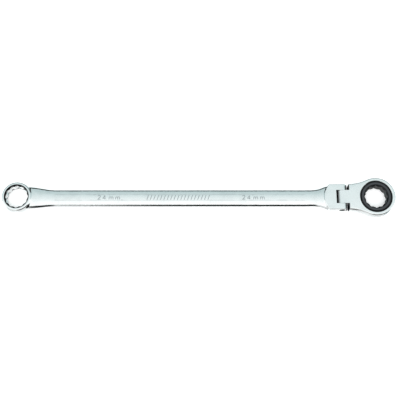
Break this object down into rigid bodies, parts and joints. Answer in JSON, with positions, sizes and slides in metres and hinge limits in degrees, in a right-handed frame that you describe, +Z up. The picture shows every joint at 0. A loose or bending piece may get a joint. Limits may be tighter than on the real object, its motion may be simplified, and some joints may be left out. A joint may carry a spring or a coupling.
{
  "type": "flex-head ratcheting box wrench",
  "caption": "Long double-box wrench: fixed twelve-point ring at one end, a ratcheting twelve-point ring on a flexing head at the other.",
  "frame": {"origin": "under the middle of the whole wrench, on the plane it lies on", "axes": "+X along the shaft from the fixed box to the ratcheting head, +Z up out of the face that is stamped with the size, +Y across"},
  "size_m": [0.47, 0.046, 0.0145],
  "materials": {
    "shaft": "satin chrome plate over forged steel",
    "head_body": "satin chrome plate over forged steel",
    "drive_gear": "black oxide, lightly oiled",
    "thrust_washer": "dark spring steel",
    "cover_washer": "black oxide",
    "snap_ring": "black phosphated spring steel",
    "drag_ring": "matte black rubber",
    "pawl": "hardened ground steel",
    "pawl_spring": "bright spring wire",
    "pivot_screw": "black oxide",
    "disc_spring_left": "spring steel",
    "disc_spring_right": "spring steel"
  },
  "bodies": {
    "shaft": {"shaft": "shaft", "pivot_screw": "pivot_screw", "disc_spring_left": "disc_spring_left", "disc_spring_right": "disc_spring_right"},
    "head": {"head_body": "head_body", "thrust_washer": "thrust_washer", "cover_washer": "cover_washer", "snap_ring": "snap_ring", "pawl_spring": "pawl_spring"},
    "gear": {"drive_gear": "drive_gear", "drag_ring": "drag_ring"},
    "pawl": {"pawl": "pawl"}
  },
  "joints": [
    {"name": "head_flex", "type": "hinge", "parent": "shaft", "child": "head", "pos_m": [0.1718, 0, 0.00725], "axis": [0, 1, 0], "range_deg": [-90, 90]},
    {"name": "gear_spin", "type": "hinge", "parent": "head", "child": "gear", "pos_m": [0.212, 0, 0.00725], "axis": [0, 0, 1], "continuous": true},
    {"name": "pawl_click", "type": "hinge", "parent": "head", "child": "pawl", "pos_m": [0.1955, 0, 0.00725], "axis": [0, 0, 1], "range_deg": [0, 13.5], "stiffness_Nm_per_rad": 0.02, "springref_deg": -11.46, "deforming": ["pawl_spring"]}
  ]
}
